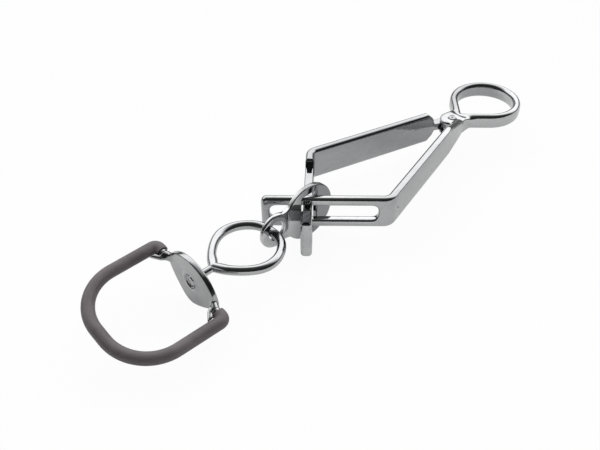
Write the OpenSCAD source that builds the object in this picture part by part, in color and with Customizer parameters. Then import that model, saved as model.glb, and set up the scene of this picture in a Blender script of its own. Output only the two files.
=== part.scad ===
// Hand grip strengthener: two crossing lever arms pinned at a neck with a ring
// eye, a figure-eight slide plate that rides where their tails cross, an oval
// link, and a coated stirrup handle on a swivel.
//
// Frame: origin at the centre of the ring eye, +X along the pull line towards
// the handle, +Y towards the ring arm, +Z up along the pivot pin. Millimetres.

/* [Bar stock] */
// Height of the flat bar that the arms are made from
bar_h = 32; // [26:1:38]
// Thickness of the flat bar
bar_t = 8; // [6:0.5:10]

/* [Arms] */
// Angle of each arm to the pull line
arm_angle = 15.5; // [12:0.5:18]
// Length of an arm from the foot of the pin to its bend
arm_len = 160; // [140:1:190]
// Distance of an arm's middle line from the pin's axis
arm_offset = 8.1; // [7.5:0.1:10]
// Angle that each arm turns through at its bend
bend_angle = 60; // [55:1:64]
// Bend radius on the middle line of the bar
bend_r = 9; // [7:0.5:14]
// Length over which the arm grows from the neck's height to full height
taper_len = 30; // [20:1:40]
// Distance of the punch mark on the ring arm back from the end of its straight run
punch_back = 10; // [6:0.5:20]
// Radius of the punch mark
punch_r = 1.6; // [0.8:0.1:2.5]

/* [Tails] */
// Length of a tail past the point where the tails cross
tail_past = 41; // [34:0.5:44]
// Corner rounding at the end of the slotted tail
tail_corner_r = 5; // [2:0.5:8]
// Height of the slot in the ring arm's tail
slot_h = 15.6; // [12:0.2:18]
// Metal left between the bend and the slot
slot_bend_margin = 4.5; // [4:0.5:10]
// Metal left between the slot and the tail's end
slot_end_margin = 7.6; // [5:0.2:12]
// Height of the tongue that runs in the slot
tongue_h = 14.4; // [10:0.2:17]
// Distance from the crossing back to the tongue's shoulder
shoulder_back = 56; // [52:1:60]
// Length of the cross head at the tongue's end
head_len = 20.5; // [16:0.5:22]
// Height of the cross head
head_h = 37.6; // [34:0.2:38]
// Thickness of the cross head
head_t = 9.8; // [8.4:0.2:12]
// Rounding of the cross head's four long edges
head_edge_r = 3.4; // [2:0.1:3.8]

/* [Ring and neck] */
// Outer diameter of the ring eye
ring_od = 73.6; // [66:0.2:80]
// Width of the ring's section
ring_w = 8.1; // [7.8:0.1:10]
// Height of the ring's section
ring_h = 16; // [12:0.2:16.6]
// Corner rounding of the ring's section
ring_edge_r = 3.8; // [1:0.1:3.8]
// Angle to the pull line of the two straight branches that close the ring at the neck
branch_angle = 45; // [44:0.5:52]
// Distance from the ring's centre to the pin
pin_x = 56.5; // [54:0.5:62]
// Diameter of the pivot pin
pin_d = 7; // [5:0.1:8]
// Radius of the centre mark in the pin's flush ends
pin_mark_r = 1.1; // [0.6:0.1:2]
// Running clearance of the pin in the hinge lug, on the radius
pin_clear = 0.05; // [0.02:0.01:0.1]
// Height of the forked knuckle
neck_h = 17; // [15:0.5:20]
// Radius of the knuckle round the pin
knuckle_r = 12.4; // [11.5:0.1:14]
// Radius of the hinge lug
lug_r = 9; // [7:0.1:10]
// Height of the hinge lug
lug_h = 7.6; // [6:0.1:9]
// Gap between the lug and the fork, above and below
lug_gap = 0.4; // [0.3:0.05:0.8]
// Fillet between a branch of the ring and an arm's outer face
neck_fillet_r = 20; // [16:1:26]

/* [Slide plate] */
// Thickness of the slide plate
plate_t = 4.7; // [3.5:0.1:6]
// Radius of the plate's main disc
disc_r = 27.4; // [25:0.1:30]
// Gap between the window's rear edge and the tails
window_gap = 0.3; // [0.3:0.1:1]
// Extra room at the window's front edge, for the swing of the tails
window_play = 0.9; // [0.8:0.1:3]
// Height of the window for the tails
window_h = 38.6; // [37.6:0.2:42]
// Distance from the disc's centre to the ear's hole
ear_dist = 38.1; // [34:0.1:42]
// Radius of the ear
ear_r = 16.8; // [14:0.1:19]
// Radius of the hole in the ear
ear_hole_r = 8.5; // [7:0.1:10]
// Fillet in the waist between the disc and the ear
waist_r = 8; // [5:0.5:12]

/* [Link and stem] */
// Diameter of the link's wire
wire_d = 8.5; // [7:0.1:10]
// Half of the link's width at its round end, on the wire's middle line
link_half_w = 25; // [21:0.5:28]
// Radius of the link's two sides, which meet in a point at the stem
link_side_r = 45.6; // [38:0.2:60]
// Gap between the wire and the rim of the ear's hole
wire_gap = 0.3; // [0.2:0.05:1]
// Diameter of the swivel stem
stem_d = 6.6; // [5:0.1:8]
// Running clearance of the stem in the handle plate, on the radius
stem_clear = 0.05; // [0.02:0.01:0.1]
// Bare length of the stem between the link's wire and the handle plate
stem_len = 14; // [9:0.5:18]
// Radius of the stem's peened head
stem_head_r = 4.9; // [4.3:0.1:6]

/* [Handle] */
// Roll of the handle about the swivel, as it lies
handle_roll = 14; // [0:1:25]
// Thickness of the handle plate
leaf_t = 5; // [4:0.1:7]
// Length of the leaf-shaped plate between its points
leaf_len = 62; // [54:0.5:68]
// Height of the leaf-shaped plate
leaf_h = 42; // [34:0.5:46]
// Radius of the dimple that takes the stem's head
dimple_r = 7.2; // [6.8:0.1:8.5]
// Depth of the dimple
dimple_depth = 2; // [1.6:0.1:2.4]
// Distance of the rod's middle line in front of the middle of the plate's thickness
rod_set = 4; // [2:0.1:6]
// Diameter of the bow's steel rod
rod_d = 8; // [6:0.1:9]
// Outer diameter of the grip coating
grip_d = 10.7; // [9.6:0.1:11.6]
// Width of the bow between the legs' middle lines
bow_w = 88; // [84:0.1:96]
// Depth of the bow from its corners to its far end, on the rod's middle line
bow_depth = 81; // [74:0.1:90]
// Radius of the bow's corners by the plate, on the rod's middle line
corner_r = 5.8; // [5.8:0.1:9]
// Radius of the bow's shoulders, on the rod's middle line
shoulder_r = 38.4; // [30:0.2:41]
// Length of the rod's straight turned-in ends
rod_end_len = 4; // [3:0.5:6]
// Length of rod end left bare between the plate's neck and the coating
bare_len = 2; // [1:0.5:2.5]
// Length of the webs that brace the corners on their inside
web_len = 12; // [8:0.5:15]
// Thickness of the corner webs
web_t = 3.4; // [2.5:0.1:5]

/* [Hidden] */
$fn = 64;
// Steps in each curve of an arm's plan
bend_steps = 12;
// Added radius of a corner's cut, and how far the cut stays from its middle
corner_over = 0.02;
corner_inset = 0.2;

steel = [0.78, 0.79, 0.80];
dark_rubber = [0.36, 0.33, 0.34];

// Arms: foot of the pin, straight run, bend and tail, on the bar's middle line
bend_set = bend_r * tan(bend_angle / 2);
run_len = arm_len - bend_set;
tail_angle = bend_angle - arm_angle;
corner_y = arm_len * sin(arm_angle) + arm_offset * cos(arm_angle);
corner_x = pin_x + arm_len * cos(arm_angle) - arm_offset * sin(arm_angle);
cross_len = corner_y / sin(tail_angle);
cross_x = corner_x + cross_len * cos(tail_angle);
tail_cross = cross_len - bend_set;
tail_len = tail_cross + tail_past;
strip_start = knuckle_r + 5.6;

// Ring and neck
ring_r = ring_od / 2;
outer_off = arm_offset + bar_t / 2;
fork_gap_h = lug_h + 2 * lug_gap;
lug_room = 0.7;
// How far the slope of the neck runs into the knuckle
knuckle_bevel = 5.5;
ring_mid_r = ring_r - ring_w / 2;
// Where the ring's arc ends, how far it overlaps a branch, and by how much a branch is thinner
branch_turn = 90 - branch_angle;
branch_lap = 1;
branch_inset = 0.05;
// How far a branch runs on into the knuckle past the place where the two meet
branch_past = 3;
hole_point_x = (ring_r - ring_w) / sin(branch_angle);
// Distance of a fillet's middle from the ring's centre, across the branch and across the arm
fillet_from_branch = ring_r + neck_fillet_r;
fillet_from_arm = outer_off - pin_x * sin(arm_angle) + neck_fillet_r;
fillet_x = (fillet_from_branch * cos(arm_angle) - fillet_from_arm * sin(branch_turn))
    / cos(branch_turn - arm_angle);
fillet_y = (fillet_from_branch * sin(arm_angle) + fillet_from_arm * cos(branch_turn))
    / cos(branch_turn - arm_angle);
// Where a neck's fillet begins, on the branch's middle line, and where it touches the arm
neck_start_x = fillet_x - (neck_fillet_r + ring_w / 2) * cos(branch_turn);
neck_start_y = fillet_y - (neck_fillet_r + ring_w / 2) * sin(branch_turn);
touch_x = fillet_x + neck_fillet_r * sin(arm_angle);
touch_y = fillet_y - neck_fillet_r * cos(arm_angle);

// Slide plate and link along the pull line
tail_reach = bar_t / 2 / sin(tail_angle) + plate_t / 2 / tan(tail_angle);
window_back = tail_reach + window_gap;
window_w = window_back + tail_reach + window_play;
ear_x = cross_x + ear_dist;
wire_x = ear_x + ear_hole_r - wire_d / 2 - wire_gap;
// Half of the wire's straight seat in the ear's hole
seat_half = plate_t / 2 + wire_gap;
link_end_r = link_half_w - seat_half;
link_reach = sqrt(pow(link_side_r, 2) - pow(link_side_r - link_half_w, 2));
link_side_turn = acos(1 - link_half_w / link_side_r);
link_len = link_end_r + link_reach;
stem_root = link_len + wire_d * 0.32;

// Handle, from the back of its leaf-shaped plate
leaf_x = wire_x + link_len + wire_d / 2 + stem_len;
stem_seat_gap = 0.3;
neck_root = 9;
neck_root_r = 5;
rod_mid = leaf_t / 2 + rod_set;
leg_y = bow_w / 2;
neck_y = leg_y - corner_r - rod_end_len;
leaf_arc_r = (pow(leaf_len / 2, 2) + pow(leaf_h / 2, 2)) / leaf_h;
dimple_sphere_r = (pow(dimple_r, 2) + pow(dimple_depth, 2)) / (2 * dimple_depth);

// ---------------------------------------------------------------- 2-D shapes

// Rectangle with rounded corners, centred on the origin
module rounded_rect(w, h, r) {
    square([w - 2 * r, h], center = true);
    square([w, h - 2 * r], center = true);
    for (x = [-1, 1], y = [-1, 1])
        translate([x * (w / 2 - r), y * (h / 2 - r)]) circle(r);
}

// What rounds a corner whose round has its middle at the origin. The arc is a
// little larger than the round, so that it crosses the faces it meets.
module corner_cut(r) {
    difference() {
        translate([corner_inset, corner_inset]) square(2 * r);
        circle(r + corner_over);
    }
}

// Slot outline with round ends between two places on the X axis
module slot_outline(x0, x1, h, r) {
    translate([(x0 + x1) / 2, 0]) rounded_rect(x1 - x0, h, r);
}

// Two arcs that meet in a point at each end of the Y axis
module leaf_outline() {
    intersection_for (side = [-1, 1])
        translate([side * (leaf_arc_r - leaf_h / 2), 0]) circle(leaf_arc_r, $fn = 96);
}

// ------------------------------------------------------------------- bar work

// Points along an arc about c
function arc_points(c, r, from, to, steps) =
    [for (i = [0:steps]) let (a = from + (to - from) * i / steps) c + r * [cos(a), sin(a)]];

// Plan of an arm from a place on its run, through the bend, to a tail's end
module arm_plan(from, tail) {
    centre = [run_len, -bend_r];
    along = [cos(bend_angle), -sin(bend_angle)];
    across = [sin(bend_angle), cos(bend_angle)];
    tail_end = centre + bend_r * across + tail * along;
    polygon(concat(
        [[from, bar_t / 2]],
        arc_points(centre, bend_r + bar_t / 2, 90, 90 - bend_angle, bend_steps),
        [tail_end + across * bar_t / 2, tail_end - across * bar_t / 2],
        arc_points(centre, bend_r - bar_t / 2, 90 - bend_angle, 90, bend_steps),
        [[from, -bar_t / 2]]));
}

// Places its children at the end of the bend, along the tail
module at_tail() {
    translate([run_len, -bend_r, 0]) rotate([0, 0, -bend_angle])
        translate([0, bend_r, 0]) children();
}

// Places its children at the foot of the pin, along the ring arm
module at_arm() {
    translate([pin_x, 0, 0]) rotate([0, 0, arm_angle])
        translate([0, arm_offset, 0]) children();
}

// Arm with a tail, which grows from the neck's height at the start of its run
module arm_blank(from, tail) {
    reach = arm_len + bar_h;
    start_half = neck_h / 2;
    end_half = start_half + (bar_h / 2 - start_half) * (reach - from) / taper_len;
    intersection() {
        linear_extrude(height = bar_h, center = true) arm_plan(from, tail);
        rotate([90, 0, 0]) linear_extrude(height = 4 * arm_len, center = true)
            polygon([[from - 1, -start_half], [from, -start_half], [reach, -end_half], [2 * reach, -end_half],
                     [2 * reach, end_half], [reach, end_half], [from, start_half], [from - 1, start_half]]);
    }
}

// ----------------------------------------------------------------- ring arm

// Ring eye: an arc, and two straight branches that meet in front of the knuckle
module ring() {
    arc_start = branch_turn - asin(branch_lap / ring_mid_r);
    rotate([0, 0, arc_start]) rotate_extrude(angle = 360 - 2 * arc_start, $fn = 128)
        translate([ring_mid_r, 0]) rounded_rect(ring_w, ring_h, ring_edge_r);
    for (side = [0, 1]) mirror([0, side, 0])
        rotate([0, 0, branch_turn]) translate([ring_mid_r, branch_lap, 0]) rotate([90, 0, 0])
            linear_extrude(height = branch_lap + ring_mid_r / tan(branch_angle) + branch_past)
                rounded_rect(ring_w - 2 * branch_inset, ring_h - 2 * branch_inset,
                             ring_edge_r - branch_inset);
}

// Plan of the neck between the branches and the knuckle
module neck_outline() {
    difference() {
        union() {
            polygon([[hole_point_x + branch_lap, 0], [neck_start_x, -neck_start_y], [fillet_x, -fillet_y],
                     [touch_x, -touch_y], [pin_x, -outer_off + 1], [pin_x, outer_off - 1],
                     [touch_x, touch_y], [fillet_x, fillet_y], [neck_start_x, neck_start_y]]);
            translate([pin_x, 0]) circle(knuckle_r);
        }
        for (side = [-1, 1])
            translate([fillet_x, side * fillet_y]) circle(neck_fillet_r, $fn = 96);
    }
}

// Side view of the neck: low beside the branches, growing to the knuckle's height
module neck_taper() {
    low_half = ring_h / 2 - ring_edge_r;
    full_x = pin_x - knuckle_r + knuckle_bevel;
    rotate([90, 0, 0]) linear_extrude(height = 4 * knuckle_r, center = true)
        polygon([[0, -low_half], [neck_start_x, -low_half], [full_x, -neck_h / 2],
                 [pin_x + 2 * knuckle_r, -neck_h / 2], [pin_x + 2 * knuckle_r, neck_h / 2],
                 [full_x, neck_h / 2], [neck_start_x, low_half], [0, low_half]]);
}

// Room for the hinge lug to turn in the fork, open towards the back arm
module fork_room() {
    room_r = lug_r + lug_room;
    reach = 3 * knuckle_r;
    linear_extrude(height = fork_gap_h, center = true)
        translate([pin_x, 0]) {
            circle(room_r);
            polygon([[0, 0], [room_r * cos(-135), room_r * sin(-135)], [-room_r * 0.7, -reach],
                     [reach, -reach], [reach, reach * tan(arm_angle)],
                     [-(arm_offset - bar_t / 2 - 0.3) * sin(arm_angle),
                      (arm_offset - bar_t / 2 - 0.3) * cos(arm_angle)]]);
        }
}

module tail_slot() {
    rotate([90, 0, 0]) linear_extrude(height = 2 * bar_t, center = true)
        slot_outline(slot_bend_margin, tail_len - slot_end_margin, slot_h, slot_h / 2 - 1.8);
}

// What is cut off the corners of the slotted tail's end
module tail_corners() {
    rotate([90, 0, 0]) linear_extrude(height = 2 * bar_t, center = true)
        for (side = [0, 1]) mirror([0, side])
            translate([tail_len - tail_corner_r, bar_h / 2 - tail_corner_r]) corner_cut(tail_corner_r);
}

module ring_arm() {
    color(steel) difference() {
        union() {
            ring();
            intersection() {
                linear_extrude(height = bar_h, center = true) neck_outline();
                neck_taper();
            }
            at_arm() difference() {
                arm_blank(0, tail_len);
                at_tail() {
                    tail_slot();
                    tail_corners();
                }
                translate([arm_len - punch_back, bar_t / 2 - punch_r / 2, 0]) rotate([-90, 0, 0])
                    cylinder(h = punch_r, r1 = 0, r2 = 2 * punch_r);
            }
        }
        fork_room();
        translate([pin_x, 0, 0]) cylinder(h = 2 * bar_h, d = pin_d, center = true);
    }
}

// ----------------------------------------------------------------- back arm

// Plan of the hinge lug and the short neck that carries the arm
module lug_outline() {
    circle(lug_r);
    rotate([0, 0, arm_angle])
        polygon([[0, 0], [-2, lug_r - 0.3], [0, outer_off - 0.6], [strip_start + 2, outer_off - 0.4],
                 [strip_start + 2, arm_offset - bar_t / 2 + 0.4]]);
}

module hinge_lug() {
    difference() {
        linear_extrude(height = lug_h, center = true) lug_outline();
        cylinder(h = 2 * lug_h, r = pin_d / 2 + pin_clear, center = true);
    }
}

// What is cut off the tail to leave the tongue
module tongue_cuts() {
    shoulder_x = tail_cross - shoulder_back;
    for (side = [0, 1]) mirror([0, 0, side])
        translate([shoulder_x, -bar_t, tongue_h / 2]) cube([tail_len, 2 * bar_t, bar_h]);
}

// Cross head at the tongue's end, from the start of its length
module cross_head() {
    rotate([90, 0, 90]) linear_extrude(height = head_len) rounded_rect(head_t, head_h, head_edge_r);
}

module back_arm() {
    head_x = tail_len - head_len;
    color(steel) mirror([0, 1, 0]) {
        translate([pin_x, 0, 0]) hinge_lug();
        at_arm() {
            difference() {
                arm_blank(strip_start, head_x + head_len / 2);
                at_tail() tongue_cuts();
            }
            at_tail() translate([head_x, 0, 0]) cross_head();
        }
    }
}

// ---------------------------------------------------------------- pivot pin

module pivot_pin() {
    color(steel) translate([pin_x, 0, 0]) rotate_extrude()
        polygon([[0, pin_mark_r - neck_h / 2], [pin_mark_r, -neck_h / 2], [pin_d / 2, -neck_h / 2],
                 [pin_d / 2, neck_h / 2], [pin_mark_r, neck_h / 2], [0, neck_h / 2 - pin_mark_r]]);
}

// -------------------------------------------------------------- slide plate

// Outline of the plate, its disc on the origin and its ear along +X
module plate_outline() {
    d1 = disc_r + waist_r;
    d2 = ear_r + waist_r;
    wx = (pow(ear_dist, 2) + pow(d1, 2) - pow(d2, 2)) / (2 * ear_dist);
    wy = sqrt(pow(d1, 2) - pow(wx, 2));
    difference() {
        union() {
            circle(disc_r, $fn = 96);
            translate([ear_dist, 0]) circle(ear_r);
            polygon([[0, 0], [wx, -wy], [ear_dist, 0], [wx, wy]]);
        }
        for (side = [-1, 1]) translate([wx, side * wy]) circle(waist_r);
        translate([window_w / 2 - window_back, 0]) rounded_rect(window_w, window_h, 1.5);
        translate([ear_dist, 0]) circle(ear_hole_r);
    }
}

module slide_plate() {
    color(steel) translate([cross_x, 0, 0]) rotate([90, 0, 0])
        linear_extrude(height = plate_t, center = true) plate_outline();
}

// ----------------------------------------------------------------- rod work

// Straight run of rod along +X
module rod_run(len, d) {
    rotate([90, 0, 90]) linear_extrude(height = len) circle(d = d, $fn = 48);
}

// Run of rod bent to an arc about the origin, from +X towards +Y
module rod_arc(r, turn, d) {
    rotate_extrude(angle = turn, $fn = 96) translate([r, 0]) circle(d = d, $fn = 48);
}

// ------------------------------------------------------------ link and stem

// Half of the link, from the middle of its wire in the ear to its point
module half_link() {
    rotate([0, 0, -90]) rod_run(seat_half, wire_d);
    translate([link_end_r, -seat_half, 0]) rotate([0, 0, 180]) rod_arc(link_end_r, 90, wire_d);
    translate([link_end_r, link_side_r - link_half_w, 0]) rotate([0, 0, -90])
        rod_arc(link_side_r, link_side_turn, wire_d);
}

module link_wire() {
    color(steel) translate([wire_x, 0, 0]) difference() {
        union() {
            half_link();
            mirror([0, 1, 0]) half_link();
            translate([link_len, 0, 0]) sphere(d = wire_d);
        }
        translate([stem_root, -wire_d, -wire_d]) cube(2 * wire_d);
    }
}

module swivel_stem() {
    start = wire_x + stem_root;
    seat = leaf_x + leaf_t - dimple_depth + stem_seat_gap;
    color(steel) rotate([90, 0, 90]) rotate_extrude()
        polygon([[0, start], [stem_d / 2, start], [stem_d / 2, seat], [stem_head_r, seat],
                 [stem_head_r, seat + 0.8], [stem_head_r * 0.8, seat + 2.1],
                 [stem_head_r * 0.4, seat + 2.8], [0, seat + 3]]);
}

// ------------------------------------------------------------------- handle

// Places its children at the back of the handle's plate, the way it lies
module at_handle() {
    translate([leaf_x, 0, 0]) rotate([-handle_roll, 0, 0]) children();
}

// Neck that draws the plate's point out to the rod's round end
module leaf_neck() {
    root_y = leaf_len / 2 - neck_root;
    run = neck_y - root_y;
    intersection() {
        union() {
            translate([rod_mid, neck_y, 0]) sphere(d = rod_d);
            translate([leaf_t / 2, root_y, 0]) rotate([0, 0, -atan(rod_set / run)]) rotate([-90, 0, 0])
                cylinder(h = sqrt(pow(run, 2) + pow(rod_set, 2)), r1 = neck_root_r, r2 = rod_d / 2 - 0.1);
        }
        translate([-rod_d, 0, -rod_d]) cube([rod_mid + 2 * rod_d, neck_y, 2 * rod_d]);
    }
}

// Web in the corner between the drawn neck and the leg
module corner_web() {
    inner_y = leg_y - grip_d / 2 - 0.3;
    side_x = rod_mid + rod_d / 2;
    linear_extrude(height = web_t, center = true)
        polygon([[rod_mid, neck_y - 8], [side_x + 1, neck_y - 4.6], [side_x + web_len, inner_y],
                 [side_x + 1.4, inner_y - 0.4], [rod_mid, neck_y - 0.1]]);
}

module handle_plate() {
    seat = leaf_t - dimple_depth;
    color(steel) at_handle() difference() {
        union() {
            rotate([0, 90, 0]) linear_extrude(height = leaf_t) leaf_outline();
            for (side = [0, 1]) mirror([0, side, 0]) leaf_neck();
            difference() {
                for (side = [0, 1]) mirror([0, side, 0]) corner_web();
                bow(rod_d, neck_y);
                bow(grip_d, neck_y + bare_len);
            }
        }
        translate([-leaf_t, 0, 0]) rotate([0, 90, 0]) cylinder(h = 3 * leaf_t, r = stem_d / 2 + stem_clear);
        translate([seat + dimple_sphere_r, 0, 0]) sphere(dimple_sphere_r, $fn = 96);
        translate([seat, 0, 0]) rotate([0, 90, 0]) cylinder(h = leaf_t, r = stem_head_r + 0.4);
    }
}

// The bow as a round rod, from a place along its turned-in ends
module bow(d, end_y) {
    leg_len = bow_depth - corner_r - shoulder_r;
    for (side = [0, 1]) mirror([0, side, 0]) {
        translate([rod_mid, end_y, 0]) rotate([0, 0, 90]) rod_run(leg_y - corner_r - end_y, d);
        translate([rod_mid + corner_r, leg_y - corner_r, 0]) rotate([0, 0, 90]) rod_arc(corner_r, 90, d);
        translate([rod_mid + corner_r, leg_y, 0]) rod_run(leg_len, d);
        translate([rod_mid + corner_r + leg_len, leg_y - shoulder_r, 0]) rod_arc(shoulder_r, 90, d);
    }
    translate([rod_mid + bow_depth, shoulder_r - leg_y, 0]) rotate([0, 0, 90])
        rod_run(2 * (leg_y - shoulder_r), d);
}

module handle_bow() {
    color(steel) at_handle() bow(rod_d, neck_y);
}

module grip_coating() {
    color(dark_rubber) at_handle() difference() {
        bow(grip_d, neck_y + bare_len);
        bow(rod_d, neck_y);
    }
}

// ------------------------------------------------------------------ assembly

ring_arm();
back_arm();
pivot_pin();
slide_plate();
link_wire();
swivel_stem();
handle_plate();
handle_bow();
grip_coating();
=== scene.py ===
"""Dresses the hand grip strengthener: polished arms, plate, link and a dipped grip.

Every length is in metres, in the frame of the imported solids: origin at the centre
of the ring eye, +X along the pull line, +Y towards the ring arm, +Z up.
"""

from __future__ import annotations

import logging
import math
from dataclasses import dataclass, field
from enum import Enum
from typing import Callable, Iterable

import bmesh
import bpy
from mathutils import Matrix, Vector

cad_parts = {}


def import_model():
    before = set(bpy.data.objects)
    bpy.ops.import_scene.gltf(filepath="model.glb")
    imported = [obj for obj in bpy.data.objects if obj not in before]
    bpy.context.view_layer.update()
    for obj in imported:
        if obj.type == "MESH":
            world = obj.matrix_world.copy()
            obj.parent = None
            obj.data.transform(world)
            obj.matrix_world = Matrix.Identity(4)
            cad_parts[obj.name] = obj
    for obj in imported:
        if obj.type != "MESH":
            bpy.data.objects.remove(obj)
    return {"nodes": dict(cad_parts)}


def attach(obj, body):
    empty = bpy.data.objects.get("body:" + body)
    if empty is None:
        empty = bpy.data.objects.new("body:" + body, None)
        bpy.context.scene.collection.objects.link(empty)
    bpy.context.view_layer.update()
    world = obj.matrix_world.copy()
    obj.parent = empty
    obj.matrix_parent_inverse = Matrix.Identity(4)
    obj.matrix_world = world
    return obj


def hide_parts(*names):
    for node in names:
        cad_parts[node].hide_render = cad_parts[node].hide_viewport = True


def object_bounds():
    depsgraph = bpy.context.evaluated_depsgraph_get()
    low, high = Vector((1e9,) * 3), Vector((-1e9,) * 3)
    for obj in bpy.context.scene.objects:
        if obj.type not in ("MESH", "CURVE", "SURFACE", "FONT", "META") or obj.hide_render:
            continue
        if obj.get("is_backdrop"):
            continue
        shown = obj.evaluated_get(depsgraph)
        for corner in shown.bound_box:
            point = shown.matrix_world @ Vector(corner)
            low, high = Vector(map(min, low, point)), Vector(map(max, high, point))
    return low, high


LOG = logging.getLogger("grip_strengthener")
MM = 0.001

# How far the handle's plane is turned about the pull line.
HANDLE_ROLL = math.radians(14)

# An edge sharper than this stays sharp: on machined steel, and on a skin laid over it.
STEEL_ANGLE = math.radians(28)
SKIN_ANGLE = math.radians(70)

# Places on the arms along the pull line.
CHEEKS_FROM_X = 37.0 * MM
FORK_TO_X = 47.5 * MM
PIN_X = 56.5 * MM
LUG_TO_X = 66.0 * MM
CHEEKS_TO_X = 69.5 * MM
NEAR_HALF_TO_X = 120.0 * MM
TAILS_FROM_X = 200.0 * MM

# How far the pin reaches round its middle, and the fork's branches to each side of the line.
PIN_REACH = 4.5 * MM
FORK_HALF_WIDTH = 7.0 * MM

# An edge of the back arm's neck that is shorter than this isn't the bar's.
SHORT_EDGE = 5.0 * MM

# Heights on the arms, up and down from the middle plane.
LUG_HALF = 4.3 * MM
CHEEK_FROM = 4.5 * MM
NECK_HALF = 8.5 * MM
SLOT_HALF = 10.5 * MM
BAR_HALF = 16.0 * MM

# How far a height may be off and still count as the one that is looked for.
HEIGHT_SLACK = 0.2 * MM

# The noise levels between which a smear and a fine line fade in.
SMEAR_EDGES = (0.42, 0.66)
LINE_EDGES = (0.5, 0.72)

# How much of a surface's relief comes from its smears, the rest being fine lines.
SMEAR_RELIEF = 0.25

# Points nearer than this are one point, and faces flatter than this are one face.
WELD = 0.002 * MM
SAME_FACE_ANGLE = math.radians(0.4)

Colour = tuple[float, float, float, float]


class Body(Enum):
    """The rigid bodies that the pieces ride on."""

    RING_ARM = "ring_arm"
    BACK_ARM = "back_arm"
    SLIDE_PLATE = "slide_plate"
    LINK = "link"
    HANDLE = "handle"


class Slot(Enum):
    """The material slots of the part."""

    CHROME = "chrome"
    GRIP = "grip"


class Lay(Enum):
    """The way the polishing lines run on a piece."""

    ALONG_X = (0.15, 1.0, 1.0)
    ALL_WAYS = (1.0, 1.0, 1.0)


@dataclass(frozen=True)
class Frame:
    """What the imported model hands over."""

    nodes: dict[str, bpy.types.Object]
    lowest: float


# ------------------------------------------------------------------ node trees


class Tree:
    """A thin helper round a node tree, for short and readable wiring."""

    def __init__(self, tree: bpy.types.NodeTree) -> None:
        """Keeps the tree.

        Args:
            tree: the shader node tree that the helper adds nodes to.
        """
        self.tree = tree

    def node(self, kind: str, **settings: object) -> bpy.types.Node:
        """Adds a node.

        Args:
            kind: the node's type, such as "ShaderNodeTexNoise".
            **settings: attributes of the node itself.

        Returns:
            The new node.
        """
        made = self.tree.nodes.new(kind)
        for name, value in settings.items():
            setattr(made, name, value)
        return made

    def feed(self, node: bpy.types.Node, **values: object) -> bpy.types.Node:
        """Sets or links a node's inputs by name.

        Args:
            node: the node whose inputs are set.
            **values: socket names, with underscores for spaces, and what each gets.

        Returns:
            The same node.
        """
        for name, value in values.items():
            socket = node.inputs[name.replace("_", " ")]
            if isinstance(value, bpy.types.NodeSocket):
                self.tree.links.new(value, socket)
            else:
                socket.default_value = value
        return node

    def maths(self, operation: str, *terms: object) -> bpy.types.NodeSocket:
        """Adds a Math node.

        Args:
            operation: the operation's name.
            *terms: numbers or sockets, in order.

        Returns:
            The node's output.
        """
        made = self.node("ShaderNodeMath", operation=operation)
        for i, term in enumerate(terms):
            if isinstance(term, bpy.types.NodeSocket):
                self.tree.links.new(term, made.inputs[i])
            else:
                made.inputs[i].default_value = term
        return made.outputs[0]

    def span(
        self, value: object, low: float, high: float, to_low: float, to_high: float
    ) -> bpy.types.NodeSocket:
        """Maps a value from one range to another and clamps it.

        Args:
            value: the socket that is mapped.
            low: the value that gives to_low.
            high: the value that gives to_high.
            to_low: the result at low.
            to_high: the result at high.

        Returns:
            The mapped value's socket.
        """
        made = self.node("ShaderNodeMapRange")
        self.feed(made, Value=value, From_Min=low, From_Max=high, To_Min=to_low, To_Max=to_high)
        return made.outputs["Result"]

    def ramp(
        self, value: object, stops: Iterable[tuple[float, float]]
    ) -> bpy.types.NodeSocket:
        """Maps a value to greys.

        Args:
            value: the socket that is mapped.
            stops: places from 0 to 1, each with its grey.

        Returns:
            The colour's socket.
        """
        made = self.feed(self.node("ShaderNodeValToRGB"), Fac=value)
        elements = made.color_ramp.elements
        for i, (spot, tone) in enumerate(stops):
            element = elements[i] if i < len(elements) else elements.new(spot)
            element.position = spot
            element.color = grey(tone)
        return made.outputs["Color"]

    def mixed(self, share: object, first: object, second: object) -> bpy.types.NodeSocket:
        """Mixes two colours.

        Args:
            share: how much of the second colour, a number or a socket.
            first: a colour or a colour socket.
            second: a colour or a colour socket.

        Returns:
            The mixed colour's socket.
        """
        made = self.node("ShaderNodeMix", data_type="RGBA")
        share_at, first_at, second_at, result_at = 0, 6, 7, 2
        for i, value in ((share_at, share), (first_at, first), (second_at, second)):
            if isinstance(value, bpy.types.NodeSocket):
                self.tree.links.new(value, made.inputs[i])
            else:
                made.inputs[i].default_value = value
        return made.outputs[result_at]


def grey(tone: float) -> Colour:
    """Returns an opaque linear grey."""
    return (tone, tone, tone, 1.0)


def colour(red: float, green: float, blue: float) -> Colour:
    """Returns an opaque linear colour."""
    return (red, green, blue, 1.0)


def new_group(
    name: str, inputs: Iterable[tuple[str, str, float]], outputs: Iterable[tuple[str, str]]
) -> Tree:
    """Makes an empty shader node group with its sockets.

    Args:
        name: the group's name.
        inputs: name, socket type and default of each input.
        outputs: name and socket type of each output.

    Returns:
        A helper round the group's tree.
    """
    group = bpy.data.node_groups.new(name, "ShaderNodeTree")
    for label, kind, default in inputs:
        socket = group.interface.new_socket(name=label, in_out="INPUT", socket_type=kind)
        if kind == "NodeSocketFloat":
            socket.default_value = default
    for label, kind in outputs:
        group.interface.new_socket(name=label, in_out="OUTPUT", socket_type=kind)
    return Tree(group)


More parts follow.
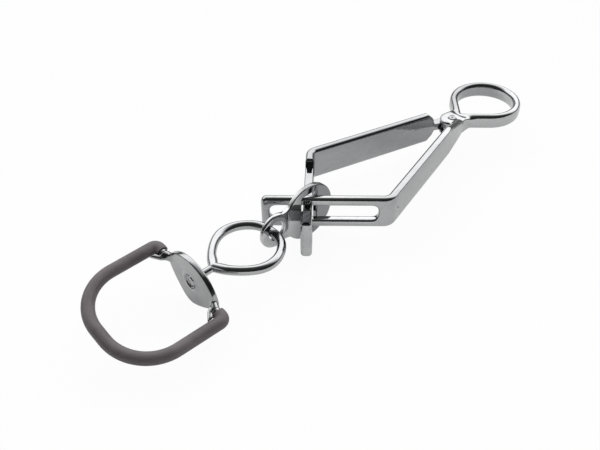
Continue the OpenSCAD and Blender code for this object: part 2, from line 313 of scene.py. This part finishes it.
def polish_group() -> bpy.types.NodeTree:
    """Builds the marks that polishing and handling leave on a surface.

    Returns:
        A group that puts out a smear mask, a scratch mask and a height.
    """
    tree = new_group(
        "polish_marks",
        [("Vector", "NodeSocketVector", 0.0), ("Smear Scale", "NodeSocketFloat", 28.0),
         ("Line Scale", "NodeSocketFloat", 900.0)],
        [(name, "NodeSocketFloat") for name in ("Smears", "Lines", "Height")],
    )
    entry = tree.node("NodeGroupInput")
    exit_ = tree.node("NodeGroupOutput")
    smear = tree.feed(
        tree.node("ShaderNodeTexNoise"), Vector=entry.outputs["Vector"],
        Scale=entry.outputs["Smear Scale"], Detail=3.0, Roughness=0.55)
    lines = tree.feed(
        tree.node("ShaderNodeTexNoise"), Vector=entry.outputs["Vector"],
        Scale=entry.outputs["Line Scale"], Detail=2.0, Roughness=0.6)
    smears = tree.span(smear.outputs["Fac"], *SMEAR_EDGES, 0.0, 1.0)
    fine = tree.span(lines.outputs["Fac"], *LINE_EDGES, 0.0, 1.0)
    height = tree.maths(
        "ADD", tree.maths("MULTIPLY", smears, SMEAR_RELIEF),
        tree.maths("MULTIPLY", fine, 1 - SMEAR_RELIEF))
    tree.feed(exit_, Smears=smears, Lines=fine, Height=height)
    return tree.tree


@dataclass(frozen=True)
class PaintedDarkening:
    """Painted shade and painted dark reflections on polished steel, faded in between two distances
    along a direction.
    """

    along: tuple[float, float, float]
    low: float
    high: float
    tone: Colour
    both_ways: bool = False

    def tint(
        self, tree: Tree, place: bpy.types.Node, steel: bpy.types.NodeSocket
    ) -> bpy.types.NodeSocket:
        """Mixes the painted dark tone into a colour.

        Args:
            tree: the material's tree.
            place: the texture coordinates.
            steel: the colour that is tinted.

        Returns:
            The tinted colour's socket.
        """
        dot = tree.node("ShaderNodeVectorMath", operation="DOT_PRODUCT")
        tree.tree.links.new(place.outputs["Object"], dot.inputs[0])
        dot.inputs[1].default_value = self.along
        reach = dot.outputs["Value"]
        if self.both_ways:
            reach = tree.maths("ABSOLUTE", reach)
        return tree.mixed(tree.span(reach, self.low, self.high, 0.0, 1.0), steel, self.tone)


@dataclass(frozen=True)
class ChromeFinish:
    """Polished chrome on steel, with the faint lines that polishing leaves."""

    name: str
    lay: Lay
    steel: Colour = colour(0.455, 0.458, 0.464)
    smeared: Colour = colour(0.400, 0.404, 0.412)
    bright_roughness: float = 0.07
    dull_roughness: float = 0.15
    relief: float = 0.02 * MM
    relief_strength: float = 0.35
    smear_scale: float = 28.0
    line_scale: float = 900.0
    line_share: float = 0.3
    lined: Colour = colour(0.26, 0.262, 0.268)
    # A painted darkening, for painted shade and painted dark reflections.
    painted_darkening: PaintedDarkening | None = None

    def material(self, marks: bpy.types.NodeTree) -> bpy.types.Material:
        """Builds the material.

        Args:
            marks: the shared group of polishing marks.

        Returns:
            The material.
        """
        made = bpy.data.materials.new(self.name)
        made.use_nodes = True
        tree = Tree(made.node_tree)
        shader = made.node_tree.nodes["Principled BSDF"]
        place = tree.node("ShaderNodeTexCoord")
        drawn = tree.feed(
            tree.node("ShaderNodeMapping"), Vector=place.outputs["Object"], Scale=self.lay.value)
        group = tree.feed(
            tree.node("ShaderNodeGroup", node_tree=marks), Vector=drawn.outputs["Vector"],
            Smear_Scale=self.smear_scale, Line_Scale=self.line_scale)
        steel = tree.mixed(group.outputs["Smears"], self.steel, self.smeared)
        # Painted shade and painted dark reflections are mixed into the steel's colour here.
        if self.painted_darkening:
            steel = self.painted_darkening.tint(tree, place, steel)
        tree.feed(
            shader,
            Base_Color=tree.mixed(
                tree.maths("MULTIPLY", group.outputs["Lines"], self.line_share), steel, self.lined),
            Metallic=1.0,
            Roughness=tree.span(
                group.outputs["Lines"], 0.0, 1.0, self.bright_roughness, self.dull_roughness),
        )
        bump = tree.feed(
            tree.node("ShaderNodeBump"), Height=group.outputs["Height"], Distance=self.relief,
            Strength=self.relief_strength)
        tree.feed(shader, Normal=bump.outputs["Normal"])
        return made


@dataclass(frozen=True)
class DippedFinish:
    """The satin dark coating that the bow is dipped in."""

    name: str = "dipped_grip"
    fresh: Colour = colour(0.125, 0.108, 0.113)
    rubbed: Colour = colour(0.175, 0.155, 0.160)
    fresh_roughness: float = 0.48
    rubbed_roughness: float = 0.6
    specular: float = 0.5
    rub_scale: float = 45.0
    grain_scale: float = 2600.0
    relief: float = 0.03 * MM
    relief_strength: float = 0.5

    def material(self, marks: bpy.types.NodeTree) -> bpy.types.Material:
        """Builds the material.

        Args:
            marks: the shared group of marks, used here for rubbed patches.

        Returns:
            The material.
        """
        made = bpy.data.materials.new(self.name)
        made.use_nodes = True
        tree = Tree(made.node_tree)
        shader = made.node_tree.nodes["Principled BSDF"]
        place = tree.node("ShaderNodeTexCoord")
        group = tree.feed(
            tree.node("ShaderNodeGroup", node_tree=marks), Vector=place.outputs["Object"],
            Smear_Scale=self.rub_scale, Line_Scale=self.grain_scale)
        rubs = group.outputs["Smears"]
        tree.feed(
            shader,
            Base_Color=tree.mixed(rubs, self.fresh, self.rubbed),
            Roughness=tree.span(rubs, 0.0, 1.0, self.fresh_roughness, self.rubbed_roughness),
        )
        bump = tree.feed(
            tree.node("ShaderNodeBump"), Height=group.outputs["Height"], Distance=self.relief,
            Strength=self.relief_strength)
        tree.feed(shader, Normal=bump.outputs["Normal"])
        shader.inputs["Specular IOR Level"].default_value = self.specular
        return made


# A painted dark reflection on the top and bottom faces of the cross head.
CROSS_HEAD_PAINTED_REFLECTION = PaintedDarkening(
    (0.0, 0.0, 1.0), 17.4 * MM, 18.2 * MM, colour(0.030, 0.031, 0.034), both_ways=True)

# Painted shade that darkens the slide plate towards the side where the arms shade it.
PLATE_PAINTED_SHADE = PaintedDarkening(
    (-0.737, 0.675, 0.0), -207.0 * MM, -194.0 * MM, colour(0.28, 0.283, 0.29))


@dataclass
class Finishes:
    """The finishes of the part, built once."""

    arms: bpy.types.Material
    slide: bpy.types.Material
    plates: bpy.types.Material
    wire: bpy.types.Material
    grip: bpy.types.Material

    @classmethod
    def build(cls) -> Finishes:
        """Builds every material from the shared group of marks.

        Returns:
            The finishes.
        """
        marks = polish_group()
        # The arms' finish carries the cross head's painted dark reflection.
        arms = ChromeFinish(
            "chrome_arms", Lay.ALONG_X, steel=colour(0.490, 0.493, 0.498),
            smeared=colour(0.330, 0.333, 0.340), relief=0.05 * MM, smear_scale=13.0,
            line_scale=600.0, painted_darkening=CROSS_HEAD_PAINTED_REFLECTION)
        # The slide plate's light steel tone is painted light, and its painted shade darkens one
        # side.
        slide = ChromeFinish(
            "chrome_slide", Lay.ALL_WAYS, steel=colour(0.64, 0.643, 0.648),
            smeared=colour(0.53, 0.533, 0.540), painted_darkening=PLATE_PAINTED_SHADE)
        plates = ChromeFinish(
            "chrome_plates", Lay.ALL_WAYS, steel=colour(0.385, 0.388, 0.393),
            smeared=colour(0.320, 0.323, 0.330))
        wire = ChromeFinish(
            "chrome_wire", Lay.ALL_WAYS, bright_roughness=0.13, dull_roughness=0.2,
            line_share=0.15)
        return cls(
            *(finish.material(marks) for finish in (arms, slide, plates, wire, DippedFinish())))


# --------------------------------------------------------------------- pieces


@dataclass
class Rounding:
    """How the sharp edges of a solid are rounded."""

    width: float
    segments: int
    sharp_angle: float = math.radians(32)


def merged_mesh(node: bpy.types.Object, name: str) -> bmesh.types.BMesh:
    """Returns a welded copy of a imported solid, its flat faces made whole.

    Args:
        node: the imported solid.
        name: the piece's name, for the log.

    Returns:
        A bmesh that the caller frees.
    """
    work = bmesh.new()
    work.from_mesh(node.data)
    bmesh.ops.remove_doubles(work, verts=work.verts, dist=WELD)
    bmesh.ops.dissolve_degenerate(work, edges=work.edges, dist=WELD)
    bmesh.ops.dissolve_limit(
        work, angle_limit=SAME_FACE_ANGLE, verts=work.verts, edges=work.edges,
        use_dissolve_boundaries=False)
    LOG.info("%s: %d faces welded", name, len(work.faces))
    return work


def rounded(
    work: bmesh.types.BMesh, rounding: Rounding, chosen: Callable[[bmesh.types.BMEdge], bool]
) -> None:
    """Rounds the sharp edges that are chosen.

    Args:
        work: the mesh, which is changed.
        rounding: the width, segments and angle.
        chosen: says of an edge whether it may be rounded.
    """
    edges = [
        e for e in work.edges
        if len(e.link_faces) == 2 and e.calc_face_angle(0.0) > rounding.sharp_angle and chosen(e)]
    bmesh.ops.bevel(
        work, geom=edges, offset=rounding.width, offset_type="OFFSET", segments=rounding.segments,
        profile=0.5, affect="EDGES", clamp_overlap=False, material=-1, loop_slide=True)


def nearest(edge: bmesh.types.BMEdge) -> float:
    """Returns how far an edge's nearer end lies from the middle plane."""
    return min(abs(vert.co.z) for vert in edge.verts)


def farthest(edge: bmesh.types.BMEdge) -> float:
    """Returns how far an edge's farther end lies from the middle plane."""
    return max(abs(vert.co.z) for vert in edge.verts)


def middle(edge: bmesh.types.BMEdge) -> Vector:
    """Returns the middle of an edge."""
    return (edge.verts[0].co + edge.verts[1].co) / 2


def along_bar(edge: bmesh.types.BMEdge) -> bool:
    """Chooses the outer edges of a flat bar, from the neck to the tail's end.

    Args:
        edge: an edge of one of the arms.

    Returns:
        Whether it is rounded as a long edge.
    """
    x = middle(edge).x
    if x > TAILS_FROM_X:
        return nearest(edge) > SLOT_HALF
    on_bar = x > CHEEKS_TO_X or (x > LUG_TO_X and edge.calc_length() > SHORT_EDGE)
    return edge.is_convex and farthest(edge) >= LUG_HALF and on_bar


def along_slot(edge: bmesh.types.BMEdge) -> bool:
    """Chooses the inner edges of the tails: the slot's and the tongue's."""
    return middle(edge).x > TAILS_FROM_X and farthest(edge) < SLOT_HALF


def round_neck(edge: bmesh.types.BMEdge) -> bool:
    """Chooses the outline of the hinge's cheeks and lug, but not the pin's hole.

    Args:
        edge: an edge of one of the arms.

    Returns:
        Whether it is rounded as an edge of the neck.
    """
    spot = middle(edge)
    at_neck = CHEEKS_FROM_X < spot.x < CHEEKS_TO_X and nearest(edge) > CHEEK_FROM
    off_pin = math.hypot(spot.x - PIN_X, spot.y) > PIN_REACH
    outside = abs(spot.y) > FORK_HALF_WIDTH or spot.x > FORK_TO_X
    return at_neck and off_pin and outside and edge.is_convex


def finished(
    work: bmesh.types.BMesh, name: str, smooth_angle: float = STEEL_ANGLE
) -> bpy.types.Object:
    """Makes an object of a mesh, smooth except at its sharp edges.

    Args:
        work: the mesh, which is freed.
        name: the object's name.
        smooth_angle: the angle past which an edge stays sharp.

    Returns:
        The new object, at the origin.
    """
    for face in work.faces:
        face.smooth = True
    for edge in work.edges:
        edge.smooth = len(edge.link_faces) == 2 and edge.calc_face_angle(0.0) < smooth_angle
    mesh = bpy.data.meshes.new(name)
    work.to_mesh(mesh)
    work.free()
    made = bpy.data.objects.new(name, mesh)
    bpy.context.scene.collection.objects.link(made)
    weighted = made.modifiers.new("weighted", "WEIGHTED_NORMAL")
    weighted.keep_sharp = True
    weighted.weight = 100
    return made


def place_piece(
    piece: bpy.types.Object, body: Body, slot: Slot, material: bpy.types.Material, *nodes: str
) -> bpy.types.Object:
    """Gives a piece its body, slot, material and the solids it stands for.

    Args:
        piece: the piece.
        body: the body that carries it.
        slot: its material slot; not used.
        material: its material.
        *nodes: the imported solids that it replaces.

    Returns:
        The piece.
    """
    piece.data.materials.clear()
    piece.data.materials.append(material)
    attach(piece, body.value)
    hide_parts(*nodes)
    LOG.info("%s rides on %s", piece.name, body.value)
    return piece


@dataclass(frozen=True)
class PunchMark:
    """A round punch mark in the outer face of the ring arm, next to its bend."""

    centre: Vector = field(default_factory=lambda: Vector((197.82, 51.76, 0.0)) * MM)
    inwards: Vector = field(default_factory=lambda: Vector((0.2689, -0.9632, 0.0)))
    radius: float = 2.0 * MM
    depth: float = 1.3 * MM

    def press(self, work: bmesh.types.BMesh) -> None:
        """Presses the mark into a skin.

        Args:
            work: the skin, which is changed.
        """
        for vert in work.verts:
            away = vert.co - self.centre
            deep = away.dot(self.inwards)
            off = (away - self.inwards * deep).length / self.radius
            if off < 1 and abs(deep) < self.radius:
                vert.co += self.inwards * (self.depth * (1 - off * off) - max(deep, 0.0))


@dataclass
class SteelPiece:
    """A steel solid whose edges are rounded by forging and polishing.

    A piece with a voxel size gets a skin, smoothed a number of rounds, and its ring more. A
    piece with a shoulder keeps the bar's full height up to that far from the neck.
    """

    node: str
    body: Body
    passes: list[tuple[Rounding, Callable[[bmesh.types.BMEdge], bool]]]
    voxel: float = 0.0
    rounds: int = 0
    mark: PunchMark | None = None
    shoulder: float = 0.0
    ring_to_x: float = 43.0 * MM
    ring_rounds: int = 22

    def build(self, frame: Frame, material: bpy.types.Material) -> bpy.types.Object:
        """Builds and dresses the piece.

        Args:
            frame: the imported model.
            material: the finish.

        Returns:
            The piece, which replaces its solid.
        """
        work = merged_mesh(frame.nodes[self.node], self.node)
        if self.shoulder:
            self.square_up(work)
        for rounding, chosen in self.passes:
            rounded(work, rounding, chosen)
        if self.voxel:
            work = faired(work, self.voxel, self.rounds, self.node)
            ring = [vert for vert in work.verts if vert.co.x < self.ring_to_x]
            soften(ring, work, self.ring_rounds)
        if self.mark:
            self.mark.press(work)
        smooth_angle = SKIN_ANGLE if self.voxel else STEEL_ANGLE
        piece = finished(work, self.node + "_polished", smooth_angle)
        return place_piece(piece, self.body, Slot.CHROME, material, self.node)

    def square_up(self, work: bmesh.types.BMesh) -> None:
        """Lets the bar keep its full height up to a short shoulder at the neck.

        Args:
            work: the solid's mesh, which is changed.
        """
        ends = [vert for vert in work.verts if vert.co.x < NEAR_HALF_TO_X]
        near = centre(v for v in ends if abs(abs(v.co.z) - NECK_HALF) < HEIGHT_SLACK)
        far = centre(v for v in ends if abs(v.co.z) > BAR_HALF - HEIGHT_SLACK)
        run = Vector((far.x - near.x, far.y - near.y, 0)).normalized()
        spot = Vector((near.x, near.y, 0)) + run * self.shoulder
        cut = bmesh.ops.bisect_plane(
            work, geom=work.verts[:] + work.edges[:] + work.faces[:], plane_co=spot,
            plane_no=run)
        for vert in cut["geom_cut"]:
            if isinstance(vert, bmesh.types.BMVert) and abs(vert.co.z) > NECK_HALF:
                vert.co.z = math.copysign(BAR_HALF, vert.co.z)


def centre(verts: Iterable[bmesh.types.BMVert]) -> Vector:
    """Returns the middle of some points."""
    spots = [vert.co for vert in verts]
    return sum(spots, Vector()) / len(spots)


def faired(work: bmesh.types.BMesh, voxel: float, rounds: int, name: str) -> bmesh.types.BMesh:
    """Lays one even skin over a solid and blends its corners, as forging and polishing do.

    Args:
        work: the solid's mesh, which is freed.
        voxel: the size of the skin's faces.
        rounds: how many times the skin is smoothed.
        name: the name of the passing mesh.

    Returns:
        The new mesh, which the caller frees.
    """
    mesh = bpy.data.meshes.new(name + "_raw")
    work.to_mesh(mesh)
    work.free()
    raw = bpy.data.objects.new(name + "_raw", mesh)
    bpy.context.scene.collection.objects.link(raw)
    skin = raw.modifiers.new("skin", "REMESH")
    skin.mode = "VOXEL"
    skin.voxel_size = voxel
    evaluated = raw.evaluated_get(bpy.context.evaluated_depsgraph_get())
    made = bmesh.new()
    made.from_mesh(evaluated.to_mesh())
    evaluated.to_mesh_clear()
    bpy.data.objects.remove(raw)
    bpy.data.meshes.remove(mesh)
    soften(made.verts, made, rounds)
    LOG.info("%s: a skin of %d faces", name, len(made.faces))
    return made


def soften(verts: Iterable[bmesh.types.BMVert], work: bmesh.types.BMesh, rounds: int) -> None:
    """Smooths some points of a skin.

    Args:
        verts: the points.
        work: their mesh.
        rounds: how many times they are smoothed.
    """
    chosen = list(verts)
    for _ in range(rounds):
        bmesh.ops.smooth_vert(
            work, verts=chosen, factor=0.5, use_axis_x=True, use_axis_y=True, use_axis_z=True)


def eased(value: float, low: float, high: float) -> float:
    """Returns 0 below low, 1 above high and a smooth rise between them."""
    share = min(max((value - low) / (high - low), 0.0), 1.0)
    return share * share * (3 - 2 * share)


@dataclass
class SlidePlate:
    """The plate that rides on the crossed tails, its ear forged round like the link's wire."""

    voxel: float = 0.5 * MM
    rounds: int = 4
    ear_from_x: float = 288.0 * MM
    ear_rounds: int = 26

    def build(self, frame: Frame, material: bpy.types.Material) -> bpy.types.Object:
        """Builds the plate.

        Args:
            frame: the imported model.
            material: the finish.

        Returns:
            The piece, which replaces its solid.
        """
        solid = merged_mesh(frame.nodes["slide_plate"], "slide_plate")
        skin = faired(solid, self.voxel, self.rounds, "slide_plate")
        soften((vert for vert in skin.verts if vert.co.x > self.ear_from_x), skin, self.ear_rounds)
        piece = finished(skin, "slide_plate_polished", SKIN_ANGLE)
        return place_piece(piece, Body.SLIDE_PLATE, Slot.CHROME, material, "slide_plate")


@dataclass
class LinkWire:
    """The drop-shaped loop of round wire, bellied out between the ear and its point.

    The belly fades over its reach along the loop, and towards the seat that the ear holds.
    """

    belly_x: float = 335.5 * MM
    belly_reach: float = 21.0 * MM
    belly: float = 5.2 * MM
    seat_half: float = 3.2 * MM
    seat_fade: float = 9.0 * MM

    def build(self, frame: Frame, material: bpy.types.Material) -> bpy.types.Object:
        """Builds the loop.

        Args:
            frame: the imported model.
            material: the finish.

        Returns:
            The piece, which replaces its solid.
        """
        work = merged_mesh(frame.nodes["link_wire"], "link_wire")
        for vert in work.verts:
            reach = math.exp(-((vert.co.x - self.belly_x) / self.belly_reach) ** 2)
            share = eased(abs(vert.co.y), self.seat_half, self.seat_fade)
            vert.co.y += math.copysign(self.belly * reach * share, vert.co.y)
        piece = finished(work, "link_wire_bent")
        return place_piece(piece, Body.LINK, Slot.CHROME, material, "link_wire")


@dataclass
class HandlePlate:
    """The leaf-shaped plate of the handle, drawn out to the rod's ends, with its stem."""

    back_x: float = 383.3 * MM
    front_x: float = 388.3 * MM
    plate_voxel: float = 0.42 * MM
    plate_rounds: int = 14
    neck_rounds: int = 14
    neck_rise: float = 3.0 * MM
    drawn_from: float = 23.0 * MM
    drawn_to: float = 31.5 * MM
    rim_radius: float = 7.6 * MM
    rim_width: float = 1.8 * MM
    rim_rise: float = 0.9 * MM
    rim_depth: float = 0.5 * MM
    rim_fade: float = 2.5
    web_from_x: float = 394.5 * MM
    web_kept: float = 0.6
    swell_share: float = 0.3
    swell_reach: float = 15.0 * MM
    swell_depth: float = 1.0 * MM
    stem_voxel: float = 0.24 * MM
    stem_rounds: int = 4
    head_depth: float = 1.0 * MM
    groove_width: float = 0.65 * MM
    groove_depth: float = 0.8 * MM
    groove_reach: float = 3.9 * MM
    groove_even: float = 0.6

    def build_plate(self, frame: Frame, material: bpy.types.Material) -> bpy.types.Object:
        """Builds the plate with its drawn necks, short webs and raised rim.

        Args:
            frame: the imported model.
            material: the finish.

        Returns:
            The piece, which replaces its solid.
        """
        work = merged_mesh(frame.nodes["handle_plate"], "handle_plate")
        for vert in work.verts:
            if vert.co.x > self.web_from_x:
                vert.co.x = self.web_from_x + (vert.co.x - self.web_from_x) * self.web_kept
            if self.along(vert) < self.drawn_from:
                vert.co.x = min(max(vert.co.x, self.back_x), self.front_x)
        skin = faired(work, self.plate_voxel, 0, "handle_plate")
        for vert in skin.verts:
            self.draw_in(vert)
            self.swell(vert)
        soften(skin.verts, skin, self.plate_rounds)
        neck_from_x = self.front_x + self.neck_rise
        soften((vert for vert in skin.verts if vert.co.x > neck_from_x), skin, self.neck_rounds)
        for vert in skin.verts:
            self.raise_rim(vert)
        piece = finished(skin, "handle_plate_polished", SKIN_ANGLE)
        return place_piece(piece, Body.HANDLE, Slot.CHROME, material, "handle_plate")

    def along(self, vert: bmesh.types.BMVert) -> float:
        """Returns how far a point lies from the stem, along the leaf."""
        return abs(vert.co.y * math.cos(HANDLE_ROLL) - vert.co.z * math.sin(HANDLE_ROLL))

    def draw_in(self, vert: bmesh.types.BMVert) -> None:
        """Sinks a neck's root into the leaf, so that it rises only near the leaf's point.

        Args:
            vert: a point of the plate, which is moved.
        """
        share = eased(self.along(vert), self.drawn_from, self.drawn_to)
        if vert.co.x > self.front_x:
            vert.co.x = self.front_x + (vert.co.x - self.front_x) * share
        elif vert.co.x < self.back_x:
            vert.co.x = self.back_x + (vert.co.x - self.back_x) * share

    def swell(self, vert: bmesh.types.BMVert) -> None:
        """Swells the leaf's lower side, most in its middle.

        Args:
            vert: a point of the plate, which is moved.
        """
        upright = Vector((0, math.sin(HANDLE_ROLL), math.cos(HANDLE_ROLL)))
        across = vert.co.dot(upright)
        if across < 0 and vert.co.x < self.front_x + self.swell_depth:
            share = self.swell_share * math.exp(-((self.along(vert) / self.swell_reach) ** 2))
            vert.co += upright * across * share

    def raise_rim(self, vert: bmesh.types.BMVert) -> None:
        """Raises the rim that the stem's head was punched into.

        Args:
            vert: a point of the plate, which is moved.
        """
        off = (math.hypot(vert.co.y, vert.co.z) - self.rim_radius) / self.rim_width
        if vert.co.x > self.front_x - self.rim_depth and abs(off) < self.rim_fade:
            vert.co.x += self.rim_rise * math.exp(-off * off)

    def build_stem(self, frame: Frame, material: bpy.types.Material) -> bpy.types.Object:
        """Builds the stem, with a cross punched into its peened head.

        Args:
            frame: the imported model.
            material: the finish.

        Returns:
            The piece, which replaces its solid.
        """
        solid = merged_mesh(frame.nodes["swivel_stem"], "swivel_stem")
        skin = faired(solid, self.stem_voxel, self.stem_rounds, "swivel_stem")
        for vert in skin.verts:
            off = math.hypot(vert.co.y, vert.co.z)
            if vert.co.x > self.front_x - self.head_depth and off < self.groove_reach:
                cut = max(
                    math.exp(-((vert.co.y + sign * vert.co.z) / self.groove_width) ** 2)
                    for sign in (1, -1))
                fade = 1 - eased(off, self.groove_even * self.groove_reach, self.groove_reach)
                vert.co.x -= self.groove_depth * cut * fade
        piece = finished(skin, "swivel_stem_peened", SKIN_ANGLE)
        return place_piece(piece, Body.LINK, Slot.CHROME, material, "swivel_stem")


@dataclass
class GripCoating:
    """The dipped coating, thicker where it has gathered outside the bow's two corners."""

    gathered: float = 1.3 * MM
    gather_reach: float = 10.0 * MM

    def build(self, frame: Frame, material: bpy.types.Material) -> bpy.types.Object:
        """Builds the coating.

        Args:
            frame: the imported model.
            material: the finish.

        Returns:
            The piece, which replaces its solid.
        """
        work = merged_mesh(frame.nodes["grip_coating"], "grip_coating")
        for side in (1, -1):
            outward = Vector(
                (-1, side * math.cos(HANDLE_ROLL), -side * math.sin(HANDLE_ROLL))).normalized()
            corner = max((vert.co.copy() for vert in work.verts), key=outward.dot)
            for vert in work.verts:
                reach = (vert.co - corner).length / self.gather_reach
                vert.co += outward * self.gathered * math.exp(-reach * reach)
        piece = finished(work, "grip_coating_dressed")
        return place_piece(piece, Body.HANDLE, Slot.GRIP, material, "grip_coating")


# ---------------------------------------------------------------------- stage


@dataclass(frozen=True)
class Studio:
    """The floor, the light and the camera.

    The skies give a grey for each height above the horizon, as polished steel mirrors it. The
    back sky is the one behind the part as the camera sees it.
    """

    floor_half: float = 6.0
    floor_gap: float = 0.0005
    floor_parts: int = 4
    floor_tone: float = 0.9
    floor_roughness: float = 0.9
    floor_specular: float = 0.1
    seen_glow: float = 0.94
    mirrored_glow: float = 0.4
    fill_place: Vector = field(default_factory=lambda: Vector((0.45, 0.25, 1.3)))
    fill_side: float = 1.8
    fill_radiance: float = 0.75
    lens_mm: float = 44.46
    sensor_mm: float = 36.0
    target: Vector = field(default_factory=lambda: Vector((0.2783, 0.0097, 0.0)))
    distance: float = 0.6406
    azimuth: float = math.radians(47.49)
    elevation: float = math.radians(40.0)
    roll: float = math.radians(-0.86)
    clip_near: float = 0.02
    clip_far: float = 50.0
    sky_strength: float = 2.1
    front_from: float = 0.1
    back_from: float = -0.35
    front_sky: tuple[tuple[float, float], ...] = (
        (0.0, 0.20), (0.02, 0.04), (0.30, 0.012), (0.80, 0.02), (0.95, 0.03), (1.0, 0.06))
    back_sky: tuple[tuple[float, float], ...] = (
        (0.0, 0.20), (0.02, 0.10), (0.24, 0.08), (0.40, 0.9), (0.62, 1.0), (0.84, 0.85),
        (0.93, 0.4), (1.0, 0.06))

    def floor(self, lowest: float) -> None:
        """Lays a plain pale floor under the part.

        Args:
            lowest: the height of the part's lowest point.
        """
        work = bmesh.new()
        bmesh.ops.create_grid(
            work, x_segments=self.floor_parts, y_segments=self.floor_parts,
            size=self.floor_half)
        bmesh.ops.translate(work, verts=work.verts, vec=(0, 0, lowest - self.floor_gap))
        mesh = bpy.data.meshes.new("floor")
        work.to_mesh(mesh)
        work.free()
        floor = bpy.data.objects.new("floor", mesh)
        bpy.context.scene.collection.objects.link(floor)
        made = bpy.data.materials.new("pale_floor")
        made.use_nodes = True
        tree = Tree(made.node_tree)
        shader = made.node_tree.nodes["Principled BSDF"]
        tree.feed(shader, Base_Color=grey(self.floor_tone), Roughness=self.floor_roughness)
        shader.inputs["Specular IOR Level"].default_value = self.floor_specular
        path = tree.node("ShaderNodeLightPath")
        mirrored = tree.maths(
            "MAXIMUM", path.outputs["Is Glossy Ray"], path.outputs["Is Transmission Ray"])
        share = tree.maths(
            "MAXIMUM", tree.maths("MULTIPLY", path.outputs["Is Camera Ray"], self.seen_glow),
            tree.maths("MULTIPLY", mirrored, self.mirrored_glow))
        glow = tree.feed(tree.node("ShaderNodeEmission"), Color=grey(1.0), Strength=1.0)
        blend = tree.node("ShaderNodeMixShader")
        for i, socket in enumerate((share, shader.outputs[0], glow.outputs[0])):
            tree.tree.links.new(socket, blend.inputs[i])
        surface = made.node_tree.nodes["Material Output"].inputs["Surface"]
        tree.tree.links.new(blend.outputs[0], surface)
        mesh.materials.append(made)
        floor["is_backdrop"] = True

    def world(self) -> None:
        """Makes the sky that the chrome mirrors: a bright panel behind, and dark elsewhere."""
        world = bpy.data.worlds.new("soft_sky")
        bpy.context.scene.world = world
        world.use_nodes = True
        tree = Tree(world.node_tree)
        background = world.node_tree.nodes["Background"]
        place = tree.node("ShaderNodeTexCoord")
        axes = tree.feed(tree.node("ShaderNodeSeparateXYZ"), Vector=place.outputs["Generated"])
        towards = tree.maths(
            "ADD", tree.maths("MULTIPLY", axes.outputs["X"], math.cos(self.azimuth)),
            tree.maths("MULTIPLY", axes.outputs["Y"], math.sin(self.azimuth)))
        behind = tree.span(towards, self.front_from, self.back_from, 0.0, 1.0)
        front = tree.ramp(axes.outputs["Z"], self.front_sky)
        back = tree.ramp(axes.outputs["Z"], self.back_sky)
        seen = tree.node("ShaderNodeLightPath").outputs["Is Camera Ray"]
        tree.feed(
            background, Color=tree.mixed(seen, tree.mixed(behind, front, back), grey(1.0)),
            Strength=tree.span(seen, 0.0, 1.0, self.sky_strength, 1.0))

    def lamp(self) -> None:
        """Hangs a square soft box that faces the part and that the chrome doesn't mirror."""
        data = bpy.data.lights.new("fill", "AREA")
        data.shape = "RECTANGLE"
        data.size = data.size_y = self.fill_side
        data.energy = self.fill_radiance * math.pi * self.fill_side ** 2
        lamp = bpy.data.objects.new("fill", data)
        lamp.location = self.fill_place
        towards = self.target - self.fill_place
        lamp.rotation_euler = towards.to_track_quat("-Z", "Y").to_euler()
        lamp.visible_glossy = False
        bpy.context.scene.collection.objects.link(lamp)

    def camera(self) -> None:
        """Sets the camera up."""
        flat = math.cos(self.elevation)
        back = Vector((
            flat * math.cos(self.azimuth), flat * math.sin(self.azimuth),
            math.sin(self.elevation)))
        side = Vector((0, 0, 1)).cross(back).normalized()
        upright = back.cross(side)
        right = side * math.cos(self.roll) + upright * math.sin(self.roll)
        up = upright * math.cos(self.roll) - side * math.sin(self.roll)
        data = bpy.data.cameras.new("camera")
        data.lens = self.lens_mm
        data.sensor_width = self.sensor_mm
        data.sensor_fit = "HORIZONTAL"
        data.clip_start = self.clip_near
        data.clip_end = self.clip_far
        camera = bpy.data.objects.new("camera", data)
        place = self.target + back * self.distance
        axes = Matrix((right, up, back)).transposed().to_4x4()
        camera.matrix_world = Matrix.Translation(place) @ axes
        bpy.context.scene.collection.objects.link(camera)
        bpy.context.scene.camera = camera

    def build(self, lowest: float) -> None:
        """Builds the whole stage.

        Args:
            lowest: the height of the part's lowest point.
        """
        bpy.context.scene.view_settings.view_transform = "Standard"
        self.floor(lowest)
        self.world()
        self.lamp()
        self.camera()


def plain(box: tuple[Vector, Vector]) -> list[list[float]]:
    """Returns a box's corners as plain lists of numbers."""
    return [[float(value) for value in corner] for corner in box]


def main() -> None:
    """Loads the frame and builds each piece."""
    logging.basicConfig(level=logging.INFO, format="%(name)s: %(message)s")
    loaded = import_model()
    cad_box = plain(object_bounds())
    frame = Frame(loaded["nodes"], cad_box[0][2])
    Studio().build(frame.lowest)
    finishes = Finishes.build()
    long_edges = Rounding(3.2 * MM, 5)
    slot_edges = Rounding(2.0 * MM, 4)
    neck_edges = Rounding(2.2 * MM, 4)
    arm_passes = [(long_edges, along_bar), (slot_edges, along_slot), (neck_edges, round_neck)]
    ring_arm = SteelPiece(
        "ring_arm", Body.RING_ARM, arm_passes, voxel=0.66 * MM, rounds=14, mark=PunchMark())
    back_arm = SteelPiece("back_arm", Body.BACK_ARM, arm_passes, shoulder=8 * MM)
    for arm in (ring_arm, back_arm):
        arm.build(frame, finishes.arms)
    SlidePlate().build(frame, finishes.slide)
    LinkWire().build(frame, finishes.wire)
    handle = HandlePlate()
    handle.build_plate(frame, finishes.plates)
    handle.build_stem(frame, finishes.wire)
    GripCoating().build(frame, finishes.grip)
    for name, body, material in (
        ("pivot_pin", Body.RING_ARM, finishes.plates),
        ("handle_bow", Body.HANDLE, finishes.wire),
    ):
        piece = finished(merged_mesh(frame.nodes[name], name), name + "_dressed")
        place_piece(piece, body, Slot.CHROME, material, name)


if __name__ == "__main__":
    main()
